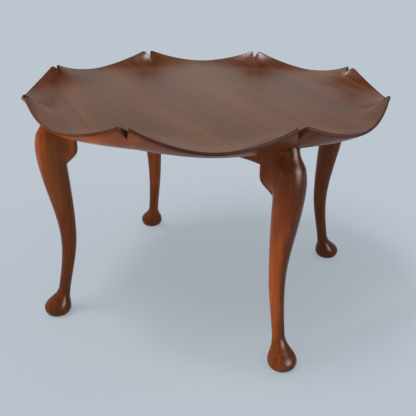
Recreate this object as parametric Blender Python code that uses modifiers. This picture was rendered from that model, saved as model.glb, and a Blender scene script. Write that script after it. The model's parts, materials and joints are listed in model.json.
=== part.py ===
"""A round coffee table: a dished top with a scalloped, notched rim on four cabriole legs.

Metres, +Z up. The origin is on the floor, under the middle of the top.
The front is -Y. The long rails run along X, the short rails along Y, and a leg stands at each corner.
"""

import math

import bmesh
import bpy
from mathutils import Matrix, Vector

# Fits: the glue line or rest between two pieces, and the room around a screw
SEAT_GAP = 0.0003
SCREW_ROOM = 0.0003

# Dished top
PEAK_COUNT = 8
RIM_DIP_HEIGHT = 0.4965
CREST_RISE = 0.0385
CREST_POWER = 1.8
DISH_DEPTH = 0.0065
FLOOR_THICKNESS = 0.022
PEAK_RADIUS = 0.402
DIP_BULGE = 0.006
CURL_WIDTH = 0.122
CURL_POWER_AT_PEAK = 3.2
CURL_POWER_AT_DIP = 4.0
RIDGE_SOFTNESS = 0.8
RIM_THICKNESS = 0.005
RIM_ROUNDING = 0.0015
UNDERSIDE_SWEEP = 0.102
UNDERSIDE_POWER_AT_PEAK = 3.6
UNDERSIDE_POWER_AT_DIP = 3.2

# Notch at each peak of the rim
NOTCH_HALF_WIDTH = 0.0085
NOTCH_DEPTH_INSIDE = 0.019
NOTCH_DEPTH_OUTSIDE = 0.0145
SHOULDER_WIDTH = 0.007
SHOULDER_DROP = 0.003

# Boards of the top, laid diagonally across the frame
GRAIN_ANGLE = math.radians(135)
MIDDLE_BOARD_WIDTH = 0.280
TONGUE_THICKNESS = 0.006
TONGUE_WIDTH = 0.020
TONGUE_LENGTH = 0.440

# Legs at their tops: how far the rim overhangs the post axes, the square head, and the ears with their ogee
OVERHANG_X = 0.1715
OVERHANG_Y = 0.1845
POST_WIDTH = 0.060
EAR_THICKNESS = 0.011
EAR_DROP = 0.057
OGEE_DROP = 0.054
OGEE_CUT = 0.039

# Cabriole leg: outward shift along the diagonal and radius at each height
FOOT_OUT = 0.0626
FOOT_RADIUS = 0.0314
FOOT_SOLE_RADIUS = 0.0235
FOOT_WIDEST_HEIGHT = 0.0165
FOOT_TREAD_SHARE_UP = 0.30
FOOT_TREAD_SHARE_OUT = 0.65
FOOT_NECK_HEIGHT = 0.038
FOOT_NECK_OUT = 0.0545
FOOT_NECK_RADIUS = 0.0222
ANKLE_HEIGHT = 0.068
ANKLE_OUT = 0.0412
ANKLE_RADIUS = 0.0136
SHIN_HEIGHT = 0.195
SHIN_OUT = 0.0222
SHIN_RADIUS = 0.0177
KNEE_DROP = 0.063
KNEE_OUT = 0.0445
KNEE_RADIUS = 0.031
KNEE_BROW_DROP = 0.031
KNEE_BROW_OUT = 0.0455
KNEE_BROW_RADIUS = 0.027
KNEE_TOP_OUT = 0.0405
KNEE_TOP_RADIUS = 0.0165
KNEE_RAMP_AT_TOP = 0.010
KNEE_RAMP_AT_KNEE = 0.022

# Rails and their tenons
RAIL_THICKNESS = 0.022
RAIL_SETBACK = 0.003
RAIL_DEPTH = 0.0315
RAIL_ARCH_RISE = 0.013
RAIL_ARCH_POWER = 5.0
TENON_LENGTH = 0.025
TENON_THICKNESS = 0.008
TENON_SHOULDER = 0.004

# Corner blocks behind the posts
CORNER_BLOCK_REACH = 0.090
CORNER_BLOCK_HEIGHT = 0.022
CORNER_SCREW_INSET = 0.016
CORNER_SCREW_BITE = 0.013

# Buttons that hold the top down, two to a rail
BUTTON_FROM_RAIL_END = 0.105
BUTTON_LENGTH = 0.034
BUTTON_WIDTH = 0.026
BUTTON_HEIGHT = 0.015
BUTTON_TONGUE_DEPTH = 0.008
BUTTON_TONGUE_HEIGHT = 0.006
BUTTON_TONGUE_DROP = 0.007
BUTTON_SCREW_BITE = 0.013

# Countersunk wood screws
SCREW_SHANK_RADIUS = 0.002
SCREW_HEAD_RADIUS = 0.004
SCREW_HEAD_HEIGHT = 0.0024
SCREW_POINT_LENGTH = 0.004

# Fineness of the curved surfaces
RIM_STEPS_PER_HALF_PEAK = 5
CURL_STEPS = 5
UNDERSIDE_STEPS = 6
LEG_SIDES = 20
LEG_STEPS_PER_SPAN = (2, 3, 4, 3, 5, 8, 3, 3, 1)
OGEE_STEPS = 8
RAMP_STEPS = 12
ARCH_STEPS = 16
SCREW_SIDES = 10
WELD_DISTANCE = 0.00001
SHARP_ANGLE = math.radians(35)

# Places worked out from the sizes above
SECTOR = 2 * math.pi / PEAK_COUNT
DIP_RADIUS = PEAK_RADIUS + DIP_BULGE
CURL_START_RADIUS = PEAK_RADIUS - CURL_WIDTH
UNDERSIDE_FLAT_RADIUS = PEAK_RADIUS - UNDERSIDE_SWEEP
DISH_FLOOR = RIM_DIP_HEIGHT - DISH_DEPTH
UNDERSIDE = DISH_FLOOR - FLOOR_THICKNESS
FRAME_TOP = UNDERSIDE - SEAT_GAP
ABOVE_TOP = RIM_DIP_HEIGHT + 2 * CREST_RISE
HALF_POST = POST_WIDTH / 2
POST_X = PEAK_RADIUS - OVERHANG_X
POST_Y = PEAK_RADIUS - OVERHANG_Y
HEAD_LOW = FRAME_TOP - RAIL_DEPTH
EAR_LOW = UNDERSIDE - EAR_DROP
OGEE_LOW = EAR_LOW - OGEE_DROP
KNEE_HEIGHT = UNDERSIDE - KNEE_DROP
RAIL_OUTER = HALF_POST - RAIL_SETBACK
RAIL_INNER = RAIL_OUTER - RAIL_THICKNESS
RAIL_MIDDLE = (RAIL_OUTER + RAIL_INNER) / 2
RAIL_LENGTH_X = 2 * (POST_X - HALF_POST - SEAT_GAP)
RAIL_LENGTH_Y = 2 * (POST_Y - HALF_POST - SEAT_GAP)
TENON_LOW = HEAD_LOW + TENON_SHOULDER
TENON_TOP = FRAME_TOP - TENON_SHOULDER
BUTTON_TONGUE_TOP = FRAME_TOP - BUTTON_TONGUE_DROP
CORNER_SCREW_HEIGHT = FRAME_TOP - CORNER_BLOCK_HEIGHT / 2
CORNER_SCREW_LENGTH = CORNER_SCREW_INSET + SEAT_GAP + CORNER_SCREW_BITE
BUTTON_SCREW_LENGTH = BUTTON_HEIGHT + SEAT_GAP + BUTTON_SCREW_BITE
QUARTER_TURN = math.radians(90)
DIAGONAL = math.radians(45)
UNMOVED = Matrix.Identity(4)

# The four corners as signs of X and Y, and the four sides as the turn that takes the front to them
CORNERS = {
    "front_left": (-1, -1),
    "front_right": (1, -1),
    "back_left": (-1, 1),
    "back_right": (1, 1),
}
SIDES = {"front": 0, "right": 1, "back": 2, "left": 3}


def clear_scene():
    for scene_object in list(bpy.data.objects):
        bpy.data.objects.remove(scene_object)


def new_collection(name):
    collection = bpy.data.collections.new(name)
    bpy.context.scene.collection.children.link(collection)
    return collection


def new_material(name, colour, roughness, metallic=0.0):
    material = bpy.data.materials.new(name)
    material.use_nodes = True
    shader = material.node_tree.nodes["Principled BSDF"]
    shader.inputs["Base Color"].default_value = (*colour, 1.0)
    shader.inputs["Roughness"].default_value = roughness
    shader.inputs["Metallic"].default_value = metallic
    return material


clear_scene()
TABLE = new_collection("coffee_table")
CUTTERS = new_collection("cutters")
SHOW_WOOD = new_material("mahogany", (0.16, 0.06, 0.03), 0.35)
HIDDEN_WOOD = new_material("beech", (0.45, 0.29, 0.16), 0.6)
SCREW_STEEL = new_material("screw_steel", (0.55, 0.54, 0.52), 0.4, 1.0)


# Making solids

def blend(start, end, share):
    return start + (end - start) * share


def ease(share):
    return share * share * (3 - 2 * share)


def within(value, low=0.0, high=1.0):
    return min(max(value, low), high)


def add_piece(name, mesh, material, place=UNMOVED):
    mesh.materials.clear()
    mesh.materials.append(material)
    mesh.shade_smooth()
    mesh.set_sharp_from_angle(angle=SHARP_ANGLE)
    piece = bpy.data.objects.new(name, mesh)
    TABLE.objects.link(piece)
    piece.matrix_world = place


def add_cutter(data, place=UNMOVED):
    cutter = bpy.data.objects.new(data.name, data)
    CUTTERS.objects.link(cutter)
    cutter.hide_render = True
    cutter.display_type = "WIRE"
    cutter.matrix_world = place
    return cutter


def finished_mesh(name, worked):
    """The mesh that an object's modifiers or its curve make. The object itself is removed."""
    bpy.context.view_layer.update()
    evaluated = worked.evaluated_get(bpy.context.evaluated_depsgraph_get())
    mesh = bpy.data.meshes.new_from_object(evaluated)
    mesh.name = name
    bpy.data.objects.remove(worked)
    return mesh


def mesh_from(name, shape):
    bmesh.ops.recalc_face_normals(shape, faces=shape.faces)
    mesh = bpy.data.meshes.new(name)
    shape.to_mesh(mesh)
    shape.free()
    return mesh


def box_mesh(name, low, high):
    low, high = Vector(low), Vector(high)
    shape = bmesh.new()
    bmesh.ops.create_cube(shape, size=1.0)
    bmesh.ops.scale(shape, vec=high - low, verts=shape.verts)
    bmesh.ops.translate(shape, vec=(high + low) / 2, verts=shape.verts)
    return mesh_from(name, shape)


def flat_mesh(name, outline, thickness):
    """A flat outline in XY, thickened evenly above and below."""
    curve = bpy.data.curves.new(name, "CURVE")
    curve.dimensions = "2D"
    curve.fill_mode = "BOTH"
    curve.extrude = thickness / 2
    spline = curve.splines.new("POLY")
    spline.points.add(len(outline) - 1)
    for point, (x, y) in zip(spline.points, outline):
        point.co = (x, y, 0, 1)
    spline.use_cyclic_u = True
    shape = bmesh.new()
    shape.from_mesh(finished_mesh(name, add_cutter(curve)))
    bmesh.ops.remove_doubles(shape, verts=shape.verts, dist=WELD_DISTANCE)
    return mesh_from(name, shape)


def turned_mesh(name, profile):
    """A solid turned about Z from (radius, height) points that run down its side from top to bottom."""
    shape = bmesh.new()
    points = [shape.verts.new((radius, 0, height)) for radius, height in profile]
    for above, below in zip(points, points[1:]):
        shape.edges.new((above, below))
    turned = add_cutter(mesh_from(name, shape))
    screw = turned.modifiers.new("turn", "SCREW")
    screw.steps = SCREW_SIDES
    screw.render_steps = SCREW_SIDES
    screw.use_merge_vertices = True
    screw.merge_threshold = WELD_DISTANCE
    return finished_mesh(name, turned)


def loft_mesh(name, rings):
    """A closed solid through rings of equally many points, with a flat cap on the first and last ring."""
    shape = bmesh.new()
    loops = [[shape.verts.new(point) for point in ring] for ring in rings]
    count = len(rings[0])
    for below, above in zip(loops, loops[1:]):
        for side in range(count):
            after = (side + 1) % count
            shape.faces.new((below[side], below[after], above[after]))
            shape.faces.new((below[side], above[after], above[side]))
    shape.faces.new(loops[0])
    shape.faces.new(loops[-1])
    return mesh_from(name, shape)


def carved(mesh, operation, *tools, place=UNMOVED):
    """The mesh after each tool mesh has been cut from it, joined to it or used to trim it."""
    work = add_cutter(mesh, place)
    cutters = [add_cutter(tool) for tool in tools]
    for cutter in cutters:
        modifier = work.modifiers.new(cutter.name, "BOOLEAN")
        modifier.operation = operation
        modifier.object = cutter
    result = finished_mesh(mesh.name, work)
    for cutter in cutters:
        bpy.data.objects.remove(cutter)
    return result


def moved(mesh, place):
    copy = mesh.copy()
    copy.transform(place)
    if place.determinant() < 0:
        copy.flip_normals()
    return copy


# Dished top

def from_peak(angle):
    """How far a direction lies from the nearest peak: 0 at the peak and 1 at the dip."""
    return abs((angle + SECTOR / 2) % SECTOR - SECTOR / 2) / (SECTOR / 2)


def rim_radius(angle):
    return blend(PEAK_RADIUS, DIP_RADIUS, ease(from_peak(angle)))


def softened(distance, softness):
    """A distance from 0 to 1 with its sharp start rounded off."""
    return (math.hypot(distance, softness) - softness) / (math.hypot(1, softness) - softness)


def dish_height(radius, angle):
    """The dish at a place: it curls up towards the rim, and the ridge at each peak softens inwards."""
    reach = max((radius - CURL_START_RADIUS) / (rim_radius(angle) - CURL_START_RADIUS), 0.0)
    distance = softened(from_peak(angle), RIDGE_SOFTNESS * within(1 - reach))
    lift = DISH_DEPTH + CREST_RISE * (1 - distance) ** CREST_POWER
    power = blend(CURL_POWER_AT_PEAK, CURL_POWER_AT_DIP, distance)
    return DISH_FLOOR + lift * reach ** power


def outer_edge(angle):
    """The rim's lower edge where no notch cuts it, as (radius, height): square across the rim's slope."""
    radius = rim_radius(angle)
    back = radius - RIM_THICKNESS
    slope = math.atan2(dish_height(radius, angle) - dish_height(back, angle), RIM_THICKNESS)
    across = RIM_THICKNESS * Vector((math.sin(slope), -math.cos(slope)))
    return Vector((radius, dish_height(radius, angle))) + across


def underside_height(radius, angle):
    edge = outer_edge(angle)
    power = blend(UNDERSIDE_POWER_AT_PEAK, UNDERSIDE_POWER_AT_DIP, from_peak(angle))
    reach = (radius - UNDERSIDE_FLAT_RADIUS) / (edge.x - UNDERSIDE_FLAT_RADIUS)
    return UNDERSIDE + (edge.y - UNDERSIDE) * max(reach, 0.0) ** power


def notch_cut(angle, depth):
    """How far the rim is cut back towards the middle: a V at the peak with eased shoulders."""
    along = from_peak(angle) * SECTOR / 2 * PEAK_RADIUS
    if along < NOTCH_HALF_WIDTH:
        return blend(depth, SHOULDER_DROP, along / NOTCH_HALF_WIDTH)
    return SHOULDER_DROP * within(1 - (along - NOTCH_HALF_WIDTH) / SHOULDER_WIDTH) ** 2


def rim_section(angle):
    """Points of the top's edge in one direction as (radius, height): inner edge, rounded lip, outer edge."""
    inner_radius = rim_radius(angle) - notch_cut(angle, NOTCH_DEPTH_INSIDE)
    outer_radius = outer_edge(angle).x - notch_cut(angle, NOTCH_DEPTH_OUTSIDE)
    inner = Vector((inner_radius, dish_height(inner_radius, angle)))
    outer = Vector((outer_radius, underside_height(outer_radius, angle)))
    outward = Vector((inner.y - outer.y, outer.x - inner.x)).normalized()
    return inner, (inner + outer) / 2 + RIM_ROUNDING * outward, outer


def rim_angles():
    """Directions of the rim's points: close together at each notch, and even from there to the dips."""
    shoulder = (NOTCH_HALF_WIDTH + SHOULDER_WIDTH) / PEAK_RADIUS
    half = [NOTCH_HALF_WIDTH / PEAK_RADIUS]
    for step in range(RIM_STEPS_PER_HALF_PEAK):
        half.append(blend(shoulder, SECTOR / 2, step / RIM_STEPS_PER_HALF_PEAK))
    sector = [0.0] + half + [SECTOR / 2] + [SECTOR - angle for angle in reversed(half)]
    return [peak * SECTOR + angle for peak in range(PEAK_COUNT) for angle in sector]


def underside_profile(angle, drop=0.0):
    outer_radius = rim_section(angle)[2].x
    profile = []
    for step in range(UNDERSIDE_STEPS + 1):
        radius = blend(outer_radius, UNDERSIDE_FLAT_RADIUS, step / UNDERSIDE_STEPS)
        profile.append((radius, underside_height(radius, angle) - drop))
    return profile


def dish_profile(angle):
    """One direction's outline as (radius, height), from the dish floor over the rim to the flat underside."""
    inner, lip, outer = rim_section(angle)
    profile = []
    for step in range(CURL_STEPS):
        radius = blend(CURL_START_RADIUS, inner.x, step / CURL_STEPS)
        profile.append((radius, dish_height(radius, angle)))
    return profile + [tuple(inner), tuple(lip)] + underside_profile(angle)


def trimmer_profile(angle):
    """The space above the underside, a seat gap lower than it, for trimming what stands under the top."""
    underside = underside_profile(angle, SEAT_GAP)
    beyond = underside[0][0] + RIM_THICKNESS
    return [(beyond, ABOVE_TOP), (beyond, underside[0][1])] + underside


def ring_mesh(name, profile_of):
    """A solid whose outline in each direction of the rim is given as (radius, height) points."""
    angles = rim_angles()
    profiles = [profile_of(angle) for angle in angles]
    rings = []
    for level in zip(*profiles):
        ring = []
        for angle, (radius, height) in zip(angles, level):
            ring.append((radius * math.cos(angle), radius * math.sin(angle), height))
        rings.append(ring)
    return loft_mesh(name, rings)


def grain_box(name, low, high):
    """A box whose length follows the boards of the top."""
    return moved(box_mesh(name, low, high), Matrix.Rotation(GRAIN_ANGLE, 4, "Z"))


def tongue_box(name, side, grow):
    middle = Vector((0, side * MIDDLE_BOARD_WIDTH / 2, (DISH_FLOOR + UNDERSIDE) / 2))
    half = Vector((TONGUE_LENGTH / 2 + grow, TONGUE_WIDTH / 2 + grow, TONGUE_THICKNESS / 2 + grow))
    return grain_box(name, middle - half, middle + half)


def make_top():
    reach = 2 * DIP_RADIUS
    joint = MIDDLE_BOARD_WIDTH / 2
    glue = SEAT_GAP / 2
    grooves = {side: tongue_box(f"groove_{side}", side, SEAT_GAP) for side in (-1, 1)}
    # Each board: its two edges across the grain, and the sides on which it has a groove
    boards = {
        "left": (-reach, -joint - glue, [-1]),
        "middle": (-joint + glue, joint - glue, [-1, 1]),
        "right": (joint + glue, reach, [1]),
    }
    dish = ring_mesh("dish", dish_profile)
    for name, (start, end, sides) in boards.items():
        strip = grain_box("strip", (-reach, start, 0), (reach, end, ABOVE_TOP))
        board = carved(dish.copy(), "INTERSECT", strip)
        tools = [grooves[side] for side in sides] + [button_pilots()]
        add_piece(f"top_board_{name}", carved(board, "DIFFERENCE", *tools), SHOW_WOOD)
    for name, side in (("left", -1), ("right", 1)):
        add_piece(f"top_tongue_{name}", tongue_box("tongue", side, 0.0), HIDDEN_WOOD)


# Cabriole legs, each in the frame of its post's axis, with the outer corner towards +X and +Y

def smooth_through(points, place):
    """A curve through (place, value) points that never overshoots them."""
    gaps = [after[0] - before[0] for before, after in zip(points, points[1:])]
    rates = [(after[1] - before[1]) / gap for before, after, gap in zip(points, points[1:], gaps)]
    slopes = [0.0] * len(points)
    for index in range(1, len(points) - 1):
        before, after = rates[index - 1], rates[index]
        if before * after > 0:
            slopes[index] = 2 * before * after / (before + after)
    index = 0
    while index < len(gaps) - 1 and place > points[index + 1][0]:
        index += 1
    share = (place - points[index][0]) / gaps[index]
    rise = ease(share) * (points[index + 1][1] - points[index][1])
    # The eased rise starts and ends level, so the slopes at its two ends are added to it
    lead = share * (1 - share) ** 2 * gaps[index] * slopes[index]
    tail = share ** 2 * (share - 1) * gaps[index] * slopes[index + 1]
    return points[index][1] + rise + lead + tail


def leg_stations():
    """The heights that shape a leg, each with the outward shift and the radius there."""
    tread_radius = blend(FOOT_SOLE_RADIUS, FOOT_RADIUS, FOOT_TREAD_SHARE_OUT)
    return [
        (0.0, FOOT_OUT, FOOT_SOLE_RADIUS),
        (FOOT_WIDEST_HEIGHT * FOOT_TREAD_SHARE_UP, FOOT_OUT, tread_radius),
        (FOOT_WIDEST_HEIGHT, FOOT_OUT, FOOT_RADIUS),
        (FOOT_NECK_HEIGHT, FOOT_NECK_OUT, FOOT_NECK_RADIUS),
        (ANKLE_HEIGHT, ANKLE_OUT, ANKLE_RADIUS),
        (SHIN_HEIGHT, SHIN_OUT, SHIN_RADIUS),
        (KNEE_HEIGHT, KNEE_OUT, KNEE_RADIUS),
        (UNDERSIDE - KNEE_BROW_DROP, KNEE_BROW_OUT, KNEE_BROW_RADIUS),
        (UNDERSIDE, KNEE_TOP_OUT, KNEE_TOP_RADIUS),
        (RIM_DIP_HEIGHT + CREST_RISE, KNEE_TOP_OUT - KNEE_TOP_RADIUS, KNEE_TOP_RADIUS),
    ]


def leg_heights():
    stations = [station[0] for station in leg_stations()]
    heights = [0.0]
    for below, above, steps in zip(stations, stations[1:], LEG_STEPS_PER_SPAN):
        heights += [blend(below, above, (step + 1) / steps) for step in range(steps)]
    return heights


def knee_ramps(height, centre):
    """Where the round knee runs out on the two outer faces. Down the ogee the ramps draw in to its centre."""
    share = within((height - KNEE_HEIGHT) / KNEE_DROP)
    along = -blend(KNEE_RAMP_AT_KNEE, KNEE_RAMP_AT_TOP, share)
    fade = ease(within((height - OGEE_LOW) / OGEE_DROP))
    return [centre.lerp(Vector(corner), fade) for corner in ((along, HALF_POST), (HALF_POST, along))]


def reach_with_ramp(direction, offset, radius):
    """How far a circle reaches in a direction when it is drawn out, tapering, to a point at an offset."""
    best = radius
    for step in range(1, RAMP_STEPS):
        share = step / RAMP_STEPS
        middle = offset * share
        along = middle.dot(direction)
        across = middle.length_squared - along * along
        room = (radius * (1 - share)) ** 2 - across
        if room > 0:
            best = max(best, along + math.sqrt(room))
    return best


def leg_section(height):
    stations = leg_stations()
    out = smooth_through([(place, shift) for place, shift, _ in stations], height)
    radius = smooth_through([(place, size) for place, _, size in stations], height)
    centre = Vector((out, out)) * math.cos(DIAGONAL)
    ramps = knee_ramps(height, centre)
    ring = []
    for side in range(LEG_SIDES):
        angle = 2 * math.pi * side / LEG_SIDES + DIAGONAL
        direction = Vector((math.cos(angle), math.sin(angle)))
        reach = max(reach_with_ramp(direction, ramp - centre, radius) for ramp in ramps)
        ring.append((*(centre + direction * reach), height))
    return ring


def ear_section(height):
    """The post below the rails: two ears along the outer faces, cut off square to the diagonal."""
    cut = OGEE_CUT * ease(within((EAR_LOW - height) / OGEE_DROP))
    end = cut - HALF_POST
    back = HALF_POST - EAR_THICKNESS
    outline = [(HALF_POST, HALF_POST), (end, HALF_POST), (end, back), (back, end), (HALF_POST, end)]
    return [(x, y, height) for x, y in outline]


def ears_mesh():
    heights = [blend(OGEE_LOW, EAR_LOW, step / OGEE_STEPS) for step in range(OGEE_STEPS + 1)]
    return loft_mesh("ears", [ear_section(height) for height in heights + [FRAME_TOP]])


def mortise_mesh():
    """The slot for the tenon of a rail along X."""
    half = TENON_THICKNESS / 2 + SEAT_GAP
    low = (-POST_WIDTH, RAIL_MIDDLE - half, TENON_LOW - SEAT_GAP)
    high = (-HALF_POST + TENON_LENGTH + SEAT_GAP, RAIL_MIDDLE + half, TENON_TOP + SEAT_GAP)
    return box_mesh("mortise", low, high)


def across_diagonal(mesh):
    """A copy with X and Y exchanged, for the other side of a corner."""
    return moved(mesh, Matrix(((0, 1, 0, 0), (1, 0, 0, 0), (0, 0, 1, 0), (0, 0, 0, 1))))


def corner_place(side_x, side_y):
    return Matrix.Translation((side_x * POST_X, side_y * POST_Y, 0))


def mirrored(mesh, side_x, side_y):
    return moved(mesh, Matrix.Diagonal((side_x, side_y, 1, 1)))


def make_legs():
    rounded = loft_mesh("leg", [leg_section(height) for height in leg_heights()])
    head_top = RIM_DIP_HEIGHT
    head = box_mesh("head", (-HALF_POST, -HALF_POST, HEAD_LOW), (HALF_POST, HALF_POST, head_top))
    leg = carved(rounded, "UNION", ears_mesh(), head)
    leg = carved(leg, "DIFFERENCE", mortise_mesh(), across_diagonal(mortise_mesh()))
    trimmer = ring_mesh("trimmer", trimmer_profile)
    for name, (side_x, side_y) in CORNERS.items():
        place = corner_place(side_x, side_y)
        trimmed = carved(mirrored(leg, side_x, side_y), "DIFFERENCE", trimmer.copy(), place=place)
        add_piece(f"leg_{name}", trimmed, SHOW_WOOD, place)


# Screws, which point up +Z from a flat head at z = 0

def screw_mesh(length):
    return turned_mesh("screw", [
        (0, length),
        (SCREW_SHANK_RADIUS / 4, length),
        (SCREW_SHANK_RADIUS, length - SCREW_POINT_LENGTH),
        (SCREW_SHANK_RADIUS, SCREW_HEAD_HEIGHT),
        (SCREW_HEAD_RADIUS, 0),
        (0, 0),
    ])


def screw_hole(length):
    """The space for a screw with its room around it, open below the head."""
    head = SCREW_HEAD_RADIUS + SCREW_ROOM
    shank = SCREW_SHANK_RADIUS + SCREW_ROOM
    return turned_mesh("screw_hole", [
        (0, length + SCREW_ROOM),
        (shank, length + SCREW_ROOM),
        (shank, SCREW_HEAD_HEIGHT),
        (head, 0),
        (head, -SCREW_HEAD_HEIGHT),
        (0, -SCREW_HEAD_HEIGHT),
    ])


# Rails, each in a frame on the floor under its middle, along X with its outer face towards -Y

def side_length(turn):
    return RAIL_LENGTH_X if turn % 2 == 0 else RAIL_LENGTH_Y


def side_place(turn):
    """The place of a rail's frame, a number of quarter turns round from the front."""
    distance = (POST_Y if turn % 2 == 0 else POST_X) + RAIL_MIDDLE
    return Matrix.Rotation(turn * QUARTER_TURN, 4, "Z") @ Matrix.Translation((0, -distance, 0))


def button_places(length):
    along = length / 2 - BUTTON_FROM_RAIL_END
    return {"a": -along, "b": along}


def rail_outline(length):
    """The front of a rail as (along, height): an arched lower edge and a straight top."""
    half = length / 2
    outline = [(half, FRAME_TOP), (-half, FRAME_TOP)]
    for step in range(ARCH_STEPS + 1):
        share = blend(-1, 1, step / ARCH_STEPS)
        outline.append((share * half, HEAD_LOW + RAIL_ARCH_RISE * (1 - abs(share) ** RAIL_ARCH_POWER)))
    return outline


def tenon_mesh(length, end):
    """The tenon at one end of a rail, long enough to be joined to the rail's body."""
    half_thick = TENON_THICKNESS / 2
    root = end * (length / 2 - TENON_LENGTH)
    tip = end * (length / 2 + SEAT_GAP + TENON_LENGTH)
    low = (min(root, tip), -half_thick, TENON_LOW)
    return box_mesh(f"tenon_{end}", low, (max(root, tip), half_thick, TENON_TOP))


def button_slot(along):
    half = BUTTON_LENGTH / 2 + SEAT_GAP
    depth = RAIL_THICKNESS / 2 - BUTTON_TONGUE_DEPTH - SEAT_GAP
    low = (along - half, depth, BUTTON_TONGUE_TOP - BUTTON_TONGUE_HEIGHT - SEAT_GAP)
    return box_mesh("slot", low, (along + half, RAIL_THICKNESS, BUTTON_TONGUE_TOP + SEAT_GAP))


def rail_pilot(length, end):
    """The hole in a rail for the screw of the corner block at one end."""
    along = end * (length / 2 + SEAT_GAP + HALF_POST - CORNER_BLOCK_REACH + CORNER_SCREW_INSET)
    start = RAIL_THICKNESS / 2 + SEAT_GAP + CORNER_SCREW_INSET
    place = Matrix.Translation((along, start, CORNER_SCREW_HEIGHT)) @ Matrix.Rotation(QUARTER_TURN, 4, "X")
    return moved(screw_hole(CORNER_SCREW_LENGTH), place)


def rail_mesh(length):
    body = flat_mesh("rail", rail_outline(length), RAIL_THICKNESS)
    body = moved(body, Matrix.Rotation(QUARTER_TURN, 4, "X"))
    body = carved(body, "UNION", tenon_mesh(length, -1), tenon_mesh(length, 1))
    slots = [button_slot(along) for along in button_places(length).values()]
    pilots = [rail_pilot(length, end) for end in (-1, 1)]
    return carved(body, "DIFFERENCE", *slots, *pilots)


def make_rails():
    for name, turn in SIDES.items():
        add_piece(f"rail_{name}", rail_mesh(side_length(turn)), SHOW_WOOD, side_place(turn))


# Corner blocks, each in the frame of its post's axis

def corner_screw_place():
    """The place of a corner block's screw that points into the rail along X."""
    along = CORNER_SCREW_INSET - CORNER_BLOCK_REACH
    start = RAIL_INNER - SEAT_GAP - CORNER_SCREW_INSET
    turn = Matrix.Rotation(-QUARTER_TURN, 4, "X")
    return Matrix.Translation((along, start, CORNER_SCREW_HEIGHT)) @ turn


def corner_block_mesh():
    rail = RAIL_INNER - SEAT_GAP
    post = -HALF_POST - SEAT_GAP
    end = -CORNER_BLOCK_REACH
    outline = [(end, rail), (post, rail), (post, post), (rail, post), (rail, end)]
    block = flat_mesh("corner_block", outline, CORNER_BLOCK_HEIGHT)
    block = moved(block, Matrix.Translation((0, 0, FRAME_TOP - CORNER_BLOCK_HEIGHT / 2)))
    hole = moved(screw_hole(CORNER_SCREW_LENGTH), corner_screw_place())
    return carved(block, "DIFFERENCE", hole, across_diagonal(hole))


def make_corner_blocks():
    block = corner_block_mesh()
    screw = moved(screw_mesh(CORNER_SCREW_LENGTH), corner_screw_place())
    screws = {"a": screw, "b": across_diagonal(screw)}
    for name, (side_x, side_y) in CORNERS.items():
        place = corner_place(side_x, side_y)
        add_piece(f"corner_block_{name}", mirrored(block, side_x, side_y), HIDDEN_WOOD, place)
        for letter, mesh in screws.items():
            turned = mirrored(mesh, side_x, side_y)
            add_piece(f"corner_screw_{name}_{letter}", turned, SCREW_STEEL, place)


# Buttons, each in its rail's frame moved along the rail

def button_screw_place():
    across = RAIL_THICKNESS / 2 + SEAT_GAP + BUTTON_WIDTH / 2
    return Matrix.Translation((0, across, FRAME_TOP - BUTTON_HEIGHT))


def button_mesh():
    """A block under the top with a tongue that reaches into the rail's slot."""
    face = RAIL_THICKNESS / 2 + SEAT_GAP
    half = BUTTON_LENGTH / 2
    low = (-half, face, FRAME_TOP - BUTTON_HEIGHT)
    block = box_mesh("button", low, (half, face + BUTTON_WIDTH, FRAME_TOP))
    tip = RAIL_THICKNESS / 2 - BUTTON_TONGUE_DEPTH
    low = (-half, tip, BUTTON_TONGUE_TOP - BUTTON_TONGUE_HEIGHT)
    tongue = box_mesh("tongue", low, (half, face + BUTTON_TONGUE_DEPTH, BUTTON_TONGUE_TOP))
    hole = moved(screw_hole(BUTTON_SCREW_LENGTH), button_screw_place())
    return carved(carved(block, "UNION", tongue), "DIFFERENCE", hole)


def button_frames():
    """Each button's name and place."""
    frames = {}
    for name, turn in SIDES.items():
        for letter, along in button_places(side_length(turn)).items():
            frames[f"{name}_{letter}"] = side_place(turn) @ Matrix.Translation((along, 0, 0))
    return frames


def button_pilots():
    """The holes in the underside of the top for the screws of all the buttons, as one cutter."""
    hole = screw_hole(BUTTON_SCREW_LENGTH)
    shape = bmesh.new()
    for place in button_frames().values():
        shape.from_mesh(moved(hole, place @ button_screw_place()))
    return mesh_from("pilots", shape)


def make_buttons():
    button = button_mesh()
    screw = screw_mesh(BUTTON_SCREW_LENGTH)
    for name, place in button_frames().items():
        add_piece(f"top_button_{name}", button.copy(), HIDDEN_WOOD, place)
        add_piece(f"button_screw_{name}", screw.copy(), SCREW_STEEL, place @ button_screw_place())


make_top()
make_legs()
make_rails()
make_corner_blocks()
make_buttons()
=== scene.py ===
"""Looks of a round coffee table: a dished mahogany top with a notched, scalloped rim on cabriole legs.

Metres, +Z up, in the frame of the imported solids: the origin is on the floor under the top, the front is -Y.
"""

import json
import math

import bpy
from mathutils import Matrix, Vector


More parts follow.
